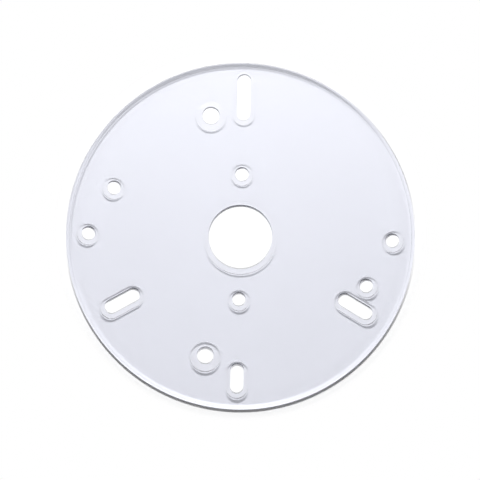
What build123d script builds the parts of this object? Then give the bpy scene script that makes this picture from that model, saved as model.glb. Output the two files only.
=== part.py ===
from build123d import *
import os

# Router base plate: a disc cut from clear plastic sheet. The seat face, at z = 0, is screwed to the router.
# The work face, on top, slides on the workpiece, so screw heads and the guide flange sit in recesses there.
# The origin is the centre of the seat face, on the axis of the cutter hole. +Z points out of the work face.

# The disc
plate_diameter = 165.1
plate_thickness = 6.35
work_edge_round = 1.6
seat_edge_break = 0.4

# The cutter hole, and the recess that takes the flange of a template guide
cutter_hole_diameter = 30.16
guide_recess_diameter = 34.93
guide_recess_depth = 2.4

# Screw holes, in pairs that face each other across the cutter hole. The outer pairs are set in from the rim
screw_hole_diameter = 6.4
screw_recess_diameter = 10.5
screw_recess_depth = 3.0
close_pair_spacing = 59.6
close_pair_angle = 90
wide_pair_to_rim = 10.55
wide_pair_angle = 0
skew_pair_to_rim = 18.35
skew_pair_angle = 160

# Two larger holes, on a line that passes beside the centre
large_hole_diameter = 8.0
large_recess_diameter = 14.7
large_recess_depth = 3.0
large_hole_spacing = 114.3
large_hole_offset = 15.3

# Slots that point at the centre, each with a ledge all round for the screw head, set in from the rim
slot_width = 6.5
slot_ledge = 2.05
slot_recess_depth = 3.0
side_slot_length = 18.2
side_slot_to_rim = 9.55
side_slot_angles = (210, 330)
long_slot_length = 21.6
long_slot_to_rim = 5.65
long_slot_angle = 90
short_slot_length = 14.2
short_slot_to_rim = 7.55
short_slot_angle = 270

# The slots run this far past the seat face, so that they leave no skin there
overrun = 1.0

# How far each screw hole is from the centre, and each slot's length and the distance from its end to the rim
plate_radius = plate_diameter / 2
screw_pairs = {
    close_pair_angle: close_pair_spacing / 2,
    wide_pair_angle: plate_radius - wide_pair_to_rim,
    skew_pair_angle: plate_radius - skew_pair_to_rim,
}
slots = {
    side_slot_angles[0]: (side_slot_length, side_slot_to_rim),
    side_slot_angles[1]: (side_slot_length, side_slot_to_rim),
    long_slot_angle: (long_slot_length, long_slot_to_rim),
    short_slot_angle: (short_slot_length, short_slot_to_rim),
}
work_face = Plane.XY.offset(plate_thickness)

with BuildPart() as base_plate:
    # The disc: its work edge is rounded so that it slides, and its seat edge is only broken
    with BuildSketch(Plane.XY):
        Circle(plate_radius)
    extrude(amount=plate_thickness)
    rim = base_plate.edges().filter_by(GeomType.CIRCLE).sort_by(Axis.Z)
    fillet(rim[-1], work_edge_round)
    chamfer(rim[0], seat_edge_break)

    # The cutter hole
    with Locations(work_face):
        CounterBoreHole(cutter_hole_diameter / 2, guide_recess_diameter / 2, guide_recess_depth)

    # The pairs of screw holes
    for angle, reach in screw_pairs.items():
        with Locations(work_face):
            with PolarLocations(reach, 2, start_angle=angle):
                CounterBoreHole(screw_hole_diameter / 2, screw_recess_diameter / 2, screw_recess_depth)

    # The two larger holes
    with Locations(work_face):
        with Locations((-large_hole_offset, 0)):
            with GridLocations(0, large_hole_spacing, 1, 2):
                CounterBoreHole(large_hole_diameter / 2, large_recess_diameter / 2, large_recess_depth)

    # The slots, right through the plate
    with BuildSketch(work_face) as slot_outlines:
        for angle, (length, to_rim) in slots.items():
            with PolarLocations(plate_radius - to_rim - length / 2, 1, start_angle=angle):
                SlotOverall(length, slot_width)
    extrude(amount=-(plate_thickness + overrun), mode=Mode.SUBTRACT)

    # Their recesses: the same outlines let out by the ledge that carries the screw head
    with BuildSketch(work_face):
        add(slot_outlines.sketch_local)
        offset(amount=slot_ledge)
    extrude(amount=-slot_recess_depth, mode=Mode.SUBTRACT)

base_plate.part.label = "base_plate"
os.makedirs("parts", exist_ok=True)
export_step(base_plate.part, "parts/base_plate.step")
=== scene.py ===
import bpy
import numpy as np
from mathutils import Matrix, Vector
from mathutils.geometry import delaunay_2d_cdt


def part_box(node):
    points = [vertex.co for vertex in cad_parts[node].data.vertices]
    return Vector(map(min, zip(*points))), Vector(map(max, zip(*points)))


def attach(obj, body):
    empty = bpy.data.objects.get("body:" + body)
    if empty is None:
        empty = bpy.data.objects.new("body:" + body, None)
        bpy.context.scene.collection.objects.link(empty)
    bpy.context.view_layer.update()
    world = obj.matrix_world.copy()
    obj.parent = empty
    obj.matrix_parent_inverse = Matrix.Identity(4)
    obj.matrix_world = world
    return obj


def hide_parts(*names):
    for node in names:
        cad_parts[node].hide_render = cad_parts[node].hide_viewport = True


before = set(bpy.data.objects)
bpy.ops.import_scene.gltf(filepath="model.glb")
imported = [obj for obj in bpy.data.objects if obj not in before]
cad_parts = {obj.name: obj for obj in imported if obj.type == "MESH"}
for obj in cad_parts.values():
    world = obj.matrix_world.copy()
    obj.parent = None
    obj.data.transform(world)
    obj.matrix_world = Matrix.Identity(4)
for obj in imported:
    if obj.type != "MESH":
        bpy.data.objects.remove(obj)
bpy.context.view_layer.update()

# The disc
# A round plate of clear acrylic sheet, turned to size. Its work edge is rounded over so that it slides on wood, with
# the fine shoulder that the cutter leaves round the face, and its seat edge is only broken. All else is cut into it.
MM = 0.001  # sizes are in mm, and the frame is in metres
low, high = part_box("base_plate")
plate_radius = (high[0] - low[0]) / 2 / MM
plate_thickness = (high[2] - low[2]) / MM
work_edge_round = 1.6
shoulder_drop, shoulder_softness = 0.16, 0.07
seat_edge_break, break_softness = 0.4, 0.08


def arc(middle_radius, middle_z, bend, start, end, rows):
    """Part of a round in a profile: radius = middle + bend cos a and z = middle + bend sin a, where a runs from start
    to end in degrees. Each row holds the radius, z, and the normal (cos a, sin a) that points away from the middle."""
    a = np.radians(np.linspace(start, end, rows))
    return np.stack([middle_radius + bend * np.cos(a), middle_z + bend * np.sin(a), np.cos(a), np.sin(a)], axis=1)


HOLLOW = np.array([1, 1, -1, -1])  # an arc times this is an inside corner, with normals towards its middle


def carry(profile, middle, turn=0.0, run=0.0, steps=72, aside=0.0):
    """Carries a profile round a circle, or round a slot's outline where run isn't zero. At direction a, the point is
    middle + (side + radius cos a, radius sin a) turned by turn, and its normal turns with a. A slot's outline is two
    half circles, with side at plus and minus run, and aside is how far in y each ring is off the middle. Gives places
    and normals, a ring of points for each profile row, and the way out from the middle at each point of a ring."""
    if run:
        half = np.radians(np.linspace(-90, 90, steps // 2))
        a, side = np.concatenate([half, half + np.pi]), np.repeat([run, -run], steps // 2)
    else:
        a, side = np.arange(steps) * 2 * np.pi / steps, np.zeros(steps)
    radius, z, out, up = (column[:, None] for column in profile.T)
    flat = np.ones_like(a)
    x, y = side + radius * np.cos(a), radius * np.sin(a)
    out_x, out_y = out * np.cos(a), out * np.sin(a)
    c, s = np.cos(turn), np.sin(turn)
    aside = np.broadcast_to(aside, len(profile))[:, None]
    places = np.stack([middle[0] + c * x - s * y, middle[1] + s * x + c * y + aside, z * flat], axis=2)
    normals = np.stack([c * out_x - s * out_y, s * out_x + c * out_y, up * flat], axis=2)
    return places, normals, np.column_stack([c * np.cos(a) - s * np.sin(a), s * np.cos(a) + c * np.sin(a)])


# The profile runs from the work face over the rim to the seat face, with a band of faces between each row and the
# next. Its first two rings lie in the work face, a little off the middle, and bound the ring of bent light
bent_light_insets, bent_light_aside = (3.55, 2.5), (1.05, 0.8)
shoulder, round_left = plate_radius - work_edge_round, work_edge_round - shoulder_drop
soft_step = break_softness * np.tan(np.radians(45 / 2))
fine_rows, round_rows, steep_rows, break_rows = 4, 13, 4, 3
rim_profile = np.concatenate([
    arc(shoulder - shoulder_softness, plate_thickness - shoulder_softness, shoulder_softness, 90, 0, fine_rows),
    arc(shoulder + shoulder_softness, plate_thickness - shoulder_drop + shoulder_softness,
        shoulder_softness, 180, 270, fine_rows) * HOLLOW,
    arc(plate_radius - round_left, plate_thickness - work_edge_round, round_left, 90, 0, round_rows),
    arc(plate_radius - break_softness, seat_edge_break + soft_step, break_softness, 0, -45, break_rows),
    arc(plate_radius - seat_edge_break - soft_step, break_softness, break_softness, -45, -90, break_rows),
])
face_profile = [(plate_radius - inset, plate_thickness, 0.0, 1.0) for inset in bent_light_insets]
disc = dict(
    profile=np.concatenate([face_profile, rim_profile]),
    aside=[*bent_light_aside, *np.zeros(len(rim_profile))],
    finishes=["bent light", "sheet"] + ["shoulder"] * (2 * fine_rows - 1) + ["rim"] * (round_rows - steep_rows)
    + ["steep rim"] * steep_rows + ["rim"] * (2 * break_rows),
    middle=(0.0, 0.0),
    steps=360,
)

# The stepped cuts
# Drilled holes and routed slots for the router's screws, each with a flat-bottomed recess from the work face for the
# screw head. The cutter hole in the middle has the same step, and its recess takes the flange of a template guide.
edge_break = 0.06
seat_break = 0.2
corner_nose = 0.05
cut_rows = 4


def stepped_cut(middle, hole_radius, recess_radius, depth, turn=0.0, run=0.0, steps=72, recess="recess"):
    """A cut's profile, from the work face down to the seat face: the broken mouth, the recess wall and the small nose
    in its corner, the flat ledge, then the hole's broken edge, its wall, and its broken edge at the seat face."""
    ledge = plate_thickness - depth
    profile = np.concatenate([
        arc(recess_radius + edge_break, plate_thickness - edge_break, edge_break, 90, 180, cut_rows),
        arc(recess_radius - corner_nose, ledge + corner_nose, corner_nose, 0, -90, cut_rows) * HOLLOW,
        arc(hole_radius + edge_break, ledge - edge_break, edge_break, 90, 180, cut_rows),
        arc(hole_radius + seat_break, seat_break, seat_break, 180, 270, cut_rows),
    ])
    wall_bands = 2 * cut_rows - 1
    finishes = [recess] * wall_bands + ["ledge"] + ["hole"] * wall_bands
    return dict(profile=profile, finishes=finishes, middle=middle, turn=turn, run=run, steps=steps)


def towards(angle, reach):
    """The point at that angle in degrees and that distance from the centre."""
    return reach * np.cos(np.radians(angle)), reach * np.sin(np.radians(angle))


cutter_hole_radius, guide_recess_radius, guide_recess_depth = 15.08, 17.465, 2.4
screw_hole_radius, screw_recess_radius, screw_recess_depth = 3.2, 5.25, 3.0
large_hole_radius, large_recess_radius, large_recess_depth = 4.0, 7.35, 3.0
slot_half_width, slot_recess_half_width = 3.25, 5.3

# Each place is an angle in degrees and a distance from the centre, and a slot's length comes last
screw_hole_places = [(90, 29.8), (270, 29.8), (0, 72.0), (180, 72.0), (160, 64.2), (340, 64.2)]
slot_places = [(210, 63.9, 18.2), (330, 63.9, 18.2), (90, 66.1, 21.6), (270, 67.9, 14.2)]
large_hole_aside, large_hole_reach = -15.3, 57.15

cuts = [stepped_cut((0.0, 0.0), cutter_hole_radius, guide_recess_radius, guide_recess_depth, steps=144,
                    recess="guide recess")]
for angle, reach in screw_hole_places:
    cuts.append(stepped_cut(towards(angle, reach), screw_hole_radius, screw_recess_radius, screw_recess_depth))
for side in (1, -1):
    middle = (large_hole_aside, side * large_hole_reach)
    cuts.append(stepped_cut(middle, large_hole_radius, large_recess_radius, large_recess_depth))
for angle, reach, length in slot_places:
    run = length / 2 - slot_half_width
    cuts.append(stepped_cut(towards(angle, reach), slot_half_width, slot_recess_half_width, screw_recess_depth,
                            turn=np.radians(angle), run=run))

# The clear plate
# One closed mesh stands for the whole plate: the rings of the disc and of each cut, and two flat faces stretched
# between their first and last rings. Its exact normals come from the profiles, so edges read as cut, not modelled.

# Each face keeps its finish: how far a tool cut it, from 0 as cast to 1, its mean roughness, how much painted shade (a
# dark grey) it shows seen from the air and from inside the acrylic, and the share of a lamp's light that goes straight
# on through it either way.
# Bent light is a ring beside the rim's round, which throws its own light there, so more goes on than falls on it
SIDES = ("from_air", "from_inside")
PAINTED_SHADE, SHARE = slice(2, 4), slice(4, 6)
FINISHES = {
    "sheet": (0.0, 0.015, 0.0, 0.0, 0.918, 0.918),
    "bent light": (0.0, 0.015, 0.0, 0.0, 1.45, 1.45),
    "shoulder": (1.0, 0.1, 0.4, 0.4, 0.0, 0.35),
    "rim": (1.0, 0.06, 0.0, 0.0, 0.0, 0.35),
    "steep rim": (1.0, 0.06, 0.6, 0.0, 0.0, 0.35),
    "recess": (1.0, 0.08, 0.0, 0.0, 0.3, 0.25),
    "guide recess": (1.0, 0.08, 0.0, 0.0, 0.7, 0.35),
    "ledge": (0.6, 0.04, 0.0, 0.0, 0.88, 0.88),
    "hole": (1.0, 0.1, 0.0, 0.95, 0.0, 0.85),
}

# The lamp stands over the plate's +y side, here called upper, so a finish also goes by which way a face looks and by
# how far up it is. Fades and places are in mm
# How the painted shade fades down the plate, its least amount there, and how far it spreads round the shoulder
painted_shade_fade, least_painted_shade = 120.0, 0.5
painted_shade_spread = 1.5
rim_sharpness, wall_sharpness, wall_share = 8, 4, 0.8
under_lamp_from, under_lamp_by = 35.0, 60.0
hole_fade, least_hole = 200.0, 0.7
ledge_keeps, ledge_gives = 0.4, 0.5
bent_sharpness = 5
dark_x, dark_y, dark_depth = -0.39, 0.92, 1.3


def finish_round(names, out, y):
    """The finish of each face in the bands of a disc or cut, by the band's name, and by the way out and the y of each
    point round it. The painted shade is times its amount here, and a share becomes 1 + (share - 1) keep. upper is out
    y and lower is -out y, and these and each fraction of y are held between 0, or the least value named, and 1."""
    out_x, out_y = out.T
    upper, lower = np.clip(out_y, 0, 1), np.clip(-out_y, 0, 1)

    # Painted shade, a dark grey put where shade falls: on a hole's upper wall, away from the lamp, times 1 + y / fade
    # so that it fades down the plate; on the shoulder by 1 + spread times out y, so more on its upper side; and on the
    # rim's lower side as a painted reflection of dark
    painted_shade_amount = {
        "hole": upper * np.clip(1 + y / painted_shade_fade, least_painted_shade, 1),
        "shoulder": np.clip(1 + painted_shade_spread * out_y, 0, 1),
        "steep rim": lower,
    }

    # Light goes by a wall that lies edge-on: keep is 1 less out x to the rim's sharpness, and in a cut 1 less a share
    # of out x to the wall's sharpness. The upper wall of a recess keeps less as it comes under the lamp, by
    # (by - y) / (by - from), that of the guide's recess by 1 - upper, and a hole keeps less down the plate
    rim, wall = 1 - out_x ** rim_sharpness, 1 - wall_share * out_x ** wall_sharpness
    before_lamp = np.clip((under_lamp_by - y) / (under_lamp_by - under_lamp_from), 0, 1)

    # The ring of bent light is bright on its lower side, by (1 - out y) / 2 to its sharpness, and dark where out goes
    # along (dark x, dark y). A ledge keeps from its least up to all by out x squared, less what it gives by upper
    bright, dark = ((1 - out_y) / 2) ** bent_sharpness, np.clip(dark_y * out_y + dark_x * out_x, 0, 1)
    keep = {
        "sheet": np.ones_like(y),
        "bent light": bright - dark_depth * dark,
        "shoulder": rim,
        "rim": rim,
        "steep rim": rim,
        "recess": wall * np.where(out_y > 0, before_lamp, 1),
        "guide recess": wall * (1 - upper),
        "ledge": ledge_keeps + (1 - ledge_keeps) * out_x ** 2 - ledge_gives * upper,
        "hole": wall * np.clip(1 + y / hole_fade, least_hole, 1),
    }
    rows = np.repeat(np.array([FINISHES[name] for name in names])[:, None, :], len(out), axis=1)
    rows[:, :, PAINTED_SHADE] *= np.stack([painted_shade_amount.get(name, np.ones_like(y)) for name in names])[:, :, None]
    rows[:, :, SHARE] = 1 + (rows[:, :, SHARE] - 1) * np.stack([keep[name] for name in names])[:, :, None]
    return rows.reshape(-1, rows.shape[2])


def flat_face(rings, places, looks_up):
    """The flat face between an outer ring and the rings of the cuts: the triangles that join those points and no
    others, less the ones whose middle lies inside a cut's ring, so that a line from it along x crosses the ring an odd
    number of times. They are wound to look up or down, by the sign of their area."""
    whole_hull, same_point, level = 0, 1e-7, 1e-12
    index, start = np.concatenate(rings), np.cumsum([0] + [len(ring) for ring in rings])
    after = np.concatenate([np.roll(np.arange(len(ring)), -1) + first for first, ring in zip(start, rings)])
    points, edges = places[index, :2], np.column_stack([np.arange(len(index)), after])
    found = delaunay_2d_cdt(points.tolist(), edges.tolist(), [], whole_hull, same_point)
    triangles = np.array(found[2])
    middle_x, middle_y = points[triangles].mean(axis=1).T[:, :, None]
    inside = np.zeros(len(triangles), bool)
    for ring in rings[1:]:
        (x, y), (next_x, next_y) = places[ring, :2].T, np.roll(places[ring, :2], -1, axis=0).T
        crosses = (y > middle_y) != (next_y > middle_y)
        rise = np.where(np.abs(next_y - y) < level, level, next_y - y)
        crossing = x + (middle_y - y) * (next_x - x) / rise
        inside |= (crosses & (middle_x < crossing)).sum(axis=1) % 2 == 1
    triangles = triangles[~inside]
    a, b, c = (points[triangles[:, k]] for k in range(3))
    area = (b[:, 0] - a[:, 0]) * (c[:, 1] - a[:, 1]) - (b[:, 1] - a[:, 1]) * (c[:, 0] - a[:, 0])
    wrong = (area < 0) if looks_up else (area > 0)
    triangles[wrong] = triangles[wrong][:, ::-1]
    return index[triangles]


def plate_mesh(disc, cuts):
    """Joins the disc and its cuts into one closed mesh. The rings of each are stitched by quads, ring to ring, and its
    points carry tool_path, the length in mm along the profile, which the marks of the tool follow."""
    places, normals, path, quads, finish, tops, bottoms, count = [], [], [], [], [], [], [], 0
    for cut in [disc, *cuts]:
        ring_places, ring_normals, out = carry(cut["profile"], cut["middle"], cut.get("turn", 0.0),
                                               cut.get("run", 0.0), cut["steps"], cut.get("aside", 0.0))
        rows, around = ring_places.shape[:2]
        index = count + np.arange(rows * around).reshape(rows, around)
        count += rows * around
        step = np.linalg.norm(np.diff(cut["profile"][:, :2], axis=0), axis=1)
        places.append(ring_places.reshape(-1, 3))
        normals.append(ring_normals.reshape(-1, 3))
        path.append(np.repeat(np.concatenate([[0], np.cumsum(step)]), around))
        after = np.roll(index, -1, axis=1)
        quad = np.stack([index[:-1], after[:-1], after[1:], index[1:]], axis=2).reshape(-1, 4)
        quads.append(quad[:, ::-1] if cut is disc else quad)
        finish.append(finish_round(cut["finishes"], out, ring_places[0, :, 1]))
        tops.append(index[0])
        bottoms.append(index[-1])
    places, normals, path = np.concatenate(places), np.concatenate(normals), np.concatenate(path)
    quads, finish = np.concatenate(quads), np.concatenate(finish)
    triangles = np.concatenate([flat_face(tops, places, True), flat_face(bottoms, places, False)])
    mesh = bpy.data.meshes.new("base_plate_clear")
    mesh.from_pydata(places * MM, [], quads.tolist() + triangles.tolist())
    mesh.polygons.foreach_set("use_smooth", np.ones(len(mesh.polygons), bool))
    finish = np.concatenate([finish, np.tile(FINISHES["sheet"], (len(triangles), 1))])
    names = ["tooled", "roughness", *(f"frost_{side}" for side in SIDES), *SIDES]
    for name, values in zip(names, finish.T.astype(np.float32)):
        mesh.attributes.new(name, "FLOAT", "FACE").data.foreach_set("value", values)
    mesh.attributes.new("tool_path", "FLOAT", "POINT").data.foreach_set("value", path.astype(np.float32))
    mesh.normals_split_custom_set_from_vertices(normals)
    return mesh


mesh = plate_mesh(disc, cuts)
plate = bpy.data.objects.new("base_plate_clear", mesh)
bpy.context.scene.collection.objects.link(plate)


def linear(hex_colour):
    """Turns an sRGB hex colour into the linear one that a shader reads: c / 12.92 near black, and otherwise
    ((c + 0.055) / 1.055) to the power 2.4."""
    srgb = np.array([int(hex_colour[k:k + 2], 16) for k in (1, 3, 5)]) / 255
    return (*np.where(srgb <= 0.04045, srgb / 12.92, ((srgb + 0.055) / 1.055) ** 2.4), 1.0)


def add_node(tree, kind, inputs=(), **settings):
    """Adds one node with its settings. Its inputs are a list in the node's own order, or go by name or number. A value
    is set, a socket is linked, and a node is linked by its first output."""
    made = tree.nodes.new("ShaderNode" + kind)
    for name, value in settings.items():
        setattr(made, name, value)
    for key, value in inputs.items() if isinstance(inputs, dict) else enumerate(inputs):
        if isinstance(value, bpy.types.Node):
            value = value.outputs[0]
        if isinstance(value, bpy.types.NodeSocket):
            tree.links.new(value, made.inputs[key])
        else:
            made.inputs[key].default_value = value
    return made


# Cast acrylic sheet: colourless in thin pieces and faintly lavender in a plate, and it bends light less than glass.
# The faces keep the mould's polish, with a haze of handling and fine rub marks, and the cuts keep the tool's ridges.
# Pattern sizes are in mm. Each noise range gives its spread, and the mean roughness is multiplied by that
# painted_shade_grey is painted shade, the dark grey of the walls and lines below, not a colour of the acrylic
face_tint, depth_tint, painted_shade_grey = "#F4F5FB", "#DADDEF", "#5E6068"
tint_density = 12.0
haze_patch, haze_noise, haze_spread = 12.0, (0.35, 0.75), (0.4, 1.6)
rub_length, rub_width, rub_slant = 20.0, 0.3, 0.6
rub_noise, rub_spread = (0.66, 0.8), (0.0, 1.8)
wave_length, wave_height = 40.0, 0.2
ridge_pitch, ridge_height = 0.3, 0.02
chatter_size, chatter_noise, chatter_spread = 1.5, (0.3, 0.7), (0.6, 1.4)

acrylic = bpy.data.materials.new("clear_cast_acrylic")
acrylic.use_nodes = True
tree = acrylic.node_tree
tree.nodes.clear()
at = add_node(tree, "TexCoord").outputs["Object"]
tooled = add_node(tree, "Attribute", attribute_name="tooled").outputs["Fac"]

# The faces. The rub marks run in one slanting direction and are drawn wide, because real ones are too fine to show
haze = add_node(tree, "TexNoise", {"Vector": at, "Scale": 1 / (haze_patch * MM), "Detail": 4.0, "Roughness": 0.6})
haze = add_node(tree, "MapRange", [haze, *haze_noise, *haze_spread])
rub_scale = (1 / (rub_length * MM), 1 / (rub_width * MM), 1.0)
slant = add_node(tree, "Mapping", {"Vector": at, "Rotation": (0, 0, rub_slant), "Scale": rub_scale})
rubs = add_node(tree, "TexNoise", {"Vector": slant, "Scale": 1.0, "Detail": 2.0})
rubs = add_node(tree, "MapRange", [rubs, *rub_noise, *rub_spread])
as_cast = add_node(tree, "Math", [haze, rubs], operation="ADD")
waves = add_node(tree, "TexNoise", {"Vector": at, "Scale": 1 / (wave_length * MM), "Detail": 1.0})
waves = add_node(tree, "Bump", {"Strength": 0.15, "Distance": wave_height * MM, "Height": waves})

# The cuts. Ridges run round each cut, evenly along the tool's path, and chatter varies their depth and their shine
path = add_node(tree, "Attribute", attribute_name="tool_path").outputs["Fac"]
chatter = add_node(tree, "TexNoise", {"Vector": at, "Scale": 1 / (chatter_size * MM), "Detail": 3.0})
turns = add_node(tree, "Math", [path, 2 * np.pi / ridge_pitch], operation="MULTIPLY")
ridges = add_node(tree, "Math", [turns], operation="SINE")
ridges = add_node(tree, "Math", [ridges, chatter], operation="MULTIPLY")
ridges = add_node(tree, "Bump", {"Strength": 0.15, "Distance": ridge_height * MM, "Height": ridges})
as_cut = add_node(tree, "MapRange", [chatter, *chatter_noise, *chatter_spread])

mean = add_node(tree, "Attribute", attribute_name="roughness").outputs["Fac"]
uneven = add_node(tree, "Mix", {0: tooled, 2: as_cast, 3: as_cut}, data_type="FLOAT")
rough = add_node(tree, "Math", [mean, uneven], operation="MULTIPLY")
normal = add_node(tree, "Mix", {0: tooled, 4: waves, 5: ridges}, data_type="VECTOR").outputs[1]
body = add_node(tree, "BsdfPrincipled", {"Base Color": linear(face_tint), "Transmission Weight": 1.0, "IOR": 1.49,
                                         "Roughness": rough, "Normal": normal})

# Painted shade: a dark grey diffuse is mixed in where the acrylic should look dark. Seen through the acrylic on a
# hole's upper wall, the side away from the lamp, it is a painted shadow line. On the shoulder it is a painted shade
# line, more on its upper side. On the steep rim's lower side, away from the lamp, it is a painted reflection of dark
side = add_node(tree, "NewGeometry").outputs["Backfacing"]
painted_shades = [add_node(tree, "Attribute", attribute_name=f"frost_{name}").outputs["Fac"] for name in SIDES]
painted_shade_amount = add_node(tree, "Mix", {0: side, 2: painted_shades[0], 3: painted_shades[1]}, data_type="FLOAT")
painted_shade = add_node(tree, "BsdfDiffuse", {"Color": linear(painted_shade_grey)})
body = add_node(tree, "MixShader", [painted_shade_amount, body, painted_shade])

# A look into the rim goes to and fro between the faces more often than a render follows it, and would end in black.
# After six turns it goes straight on, and so it still ends in the light of the room or of the floor
turns_followed = 6
ray = add_node(tree, "LightPath").outputs
late = add_node(tree, "Math", [ray["Ray Depth"], turns_followed - 0.5], operation="GREATER_THAN")
onward = add_node(tree, "BsdfTransparent", {"Color": linear("#FFFFFF")})
body = add_node(tree, "MixShader", [late, body, onward])

# Lamps see the plate in a plainer way. A face lets their light go straight on, while a wall turns it aside, which is
# why clear plastic has dark edges and throws thin shadows. What a wall lets by is kept on the mesh for either side
shares = [add_node(tree, "Attribute", attribute_name=name).outputs["Fac"] for name in SIDES]
share = add_node(tree, "Mix", {0: side, 2: shares[0], 3: shares[1]}, data_type="FLOAT")
straight = add_node(tree, "BsdfTransparent", {"Color": share})
surface = add_node(tree, "MixShader", [ray["Is Shadow Ray"], body, straight])
tint = add_node(tree, "VolumeAbsorption", {"Color": linear(depth_tint), "Density": tint_density})
add_node(tree, "OutputMaterial", {"Surface": surface, "Volume": tint})
mesh.materials.append(acrylic)
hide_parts("base_plate")
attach(plate, "root")

# The floor
# A sheet of plain white paper under the plate. Round the plate the lamp lights it and it holds the plate's shadow,
# and further out it shows as plain white to the camera, and in what the plate mirrors or bends.
floor_gap = 0.05
floor_reach = 3000.0
plain_from, plain_by = 85.5, 88.5

corner = np.array([(-1, -1), (1, -1), (1, 1), (-1, 1)]) * floor_reach * MM
floor_mesh = bpy.data.meshes.new("floor")
floor_mesh.from_pydata(np.column_stack([corner, np.full(4, -floor_gap * MM)]), [], [(0, 1, 2, 3)])
floor = bpy.data.objects.new("floor", floor_mesh)
bpy.context.scene.collection.objects.link(floor)

paper = bpy.data.materials.new("white_paper")
paper.use_nodes = True
tree = paper.node_tree
tree.nodes.clear()
at = add_node(tree, "TexCoord").outputs["Object"]
reach = add_node(tree, "VectorMath", [at], operation="LENGTH").outputs["Value"]
away = add_node(tree, "MapRange", [reach, plain_from * MM, plain_by * MM], interpolation_type="SMOOTHSTEP")
ray = add_node(tree, "LightPath").outputs
shown = add_node(tree, "Math", [ray["Is Camera Ray"], ray["Is Glossy Ray"]], operation="MAXIMUM")
shown = add_node(tree, "Math", [shown, ray["Is Transmission Ray"]], operation="MAXIMUM")
plain = add_node(tree, "Math", [away, shown], operation="MULTIPLY")
lit = add_node(tree, "BsdfDiffuse", {"Color": linear("#FCFCFC")})
white = add_node(tree, "Emission", {"Color": linear("#FFFFFF"), "Strength": 1.0})
look = add_node(tree, "MixShader", [plain, lit, white])
add_node(tree, "OutputMaterial", {"Surface": look})
floor_mesh.materials.append(paper)

# The studio light
# One round lamp stands over the top edge of the picture, a little to the left and near enough to light that side more.
# The room adds a plain fill, a pale panel overhead that the plate mirrors, and a low white backdrop all round, which
# shows only in what the plate mirrors or bends. Lamp and fill together make the floor white.
lamp_place = Vector((-0.014, 0.128, 0.5))  # in metres, like its width
lamp_width = 0.04
lamp_level = 0.9
room_level = 0.1
panel_level = 1.4

# The edges of the panel and the top of the backdrop are soft: each fades between two values of x, y or z of the way
# that a ray goes, which has the length 1
panel_side = (0.2, 0.3)
panel_near, panel_far = (-0.13, -0.03), (0.15, 0.25)
panel_low = (0.5, 0.7)
backdrop_top = (0.35, 0.6)

# The lamp's power is pi squared times the distance squared, over z / distance for the slope at which its light meets
# the floor, and that lights white paper at the middle to a level of 1
lamp_light = bpy.data.lights.new("studio_lamp", "AREA")
lamp_light.shape = "DISK"
lamp_light.size = lamp_width
distance = lamp_place.length
lamp_light.energy = lamp_level * np.pi ** 2 * distance ** 2 / (lamp_place.z / distance)
lamp = bpy.data.objects.new("studio_lamp", lamp_light)
bpy.context.scene.collection.objects.link(lamp)
lamp.location = lamp_place
lamp.rotation_euler = lamp_place.to_track_quat("Z", "Y").to_euler()
lamp.visible_camera = lamp.visible_glossy = lamp.visible_transmission = False

room = bpy.data.worlds.new("studio_room")
bpy.context.scene.world = room
room.use_nodes = True
tree = room.node_tree
tree.nodes.clear()
way = add_node(tree, "SeparateXYZ", [add_node(tree, "TexCoord").outputs["Generated"]]).outputs
across = add_node(tree, "Math", [way["X"]], operation="ABSOLUTE")
fades = [(across, panel_side, (1.0, 0.0)), (way["Y"], panel_near, (0.0, 1.0)), (way["Y"], panel_far, (1.0, 0.0)),
         (way["Z"], panel_low, (0.0, panel_level)), (way["Z"], backdrop_top, (1.0, 0.0))]
panel, *others, backdrop = [
    add_node(tree, "MapRange", [part, *ends, *levels], interpolation_type="SMOOTHSTEP") for part, ends, levels in fades
]
for fade in others:
    panel = add_node(tree, "Math", [panel, fade], operation="MULTIPLY")
ray = add_node(tree, "LightPath").outputs
bent = add_node(tree, "Math", [ray["Is Glossy Ray"], ray["Is Transmission Ray"]], operation="MAXIMUM")
backdrop = add_node(tree, "Math", [backdrop, bent], operation="MULTIPLY")
level = add_node(tree, "Math", [panel, room_level], operation="ADD")
level = add_node(tree, "Math", [level, backdrop], operation="MAXIMUM")
studio = add_node(tree, "Background", {"Color": linear("#FFFFFF"), "Strength": level})
white = add_node(tree, "Background", {"Color": linear("#FFFFFF"), "Strength": 1.0})
sky = add_node(tree, "MixShader", [ray["Is Camera Ray"], studio, white])
add_node(tree, "OutputWorld", {"Surface": sky})

# The camera
# It looks down on the work face from 1.4 m, tilted 6.5 degrees towards the top of the picture, with the plate's own
# directions turned a little clockwise in the frame.
camera_distance = 1.4
camera_tilt = np.radians(6.5)
plate_turned = np.radians(1.43)
mm_per_pixel = 0.4727
picture_side = 480
plate_middle_in_picture = (240.4, 238.0)

camera_lens = bpy.data.cameras.new("camera")
camera_lens.sensor_width = 36.0
camera_lens.lens = camera_lens.sensor_width * camera_distance / (picture_side * mm_per_pixel * MM)
camera_lens.clip_start = 0.01
camera = bpy.data.objects.new("camera", camera_lens)
bpy.context.scene.collection.objects.link(camera)
bpy.context.scene.camera = camera
aim = Vector((picture_side / 2 - plate_middle_in_picture[0], plate_middle_in_picture[1] - picture_side / 2, 0.0))
aim = aim * mm_per_pixel * MM + Vector((0.0, 0.0, plate_thickness * MM))
back = Vector((0.0, np.sin(camera_tilt), np.cos(camera_tilt)))
right = Vector((1.0, 0.0, 0.0))
axes = Matrix((right, back.cross(right), back)).transposed().to_4x4()
camera.matrix_world = Matrix.Rotation(plate_turned, 4, "Z") @ Matrix.Translation(aim + back * camera_distance) @ axes
bpy.context.scene.view_settings.view_transform = "Standard"
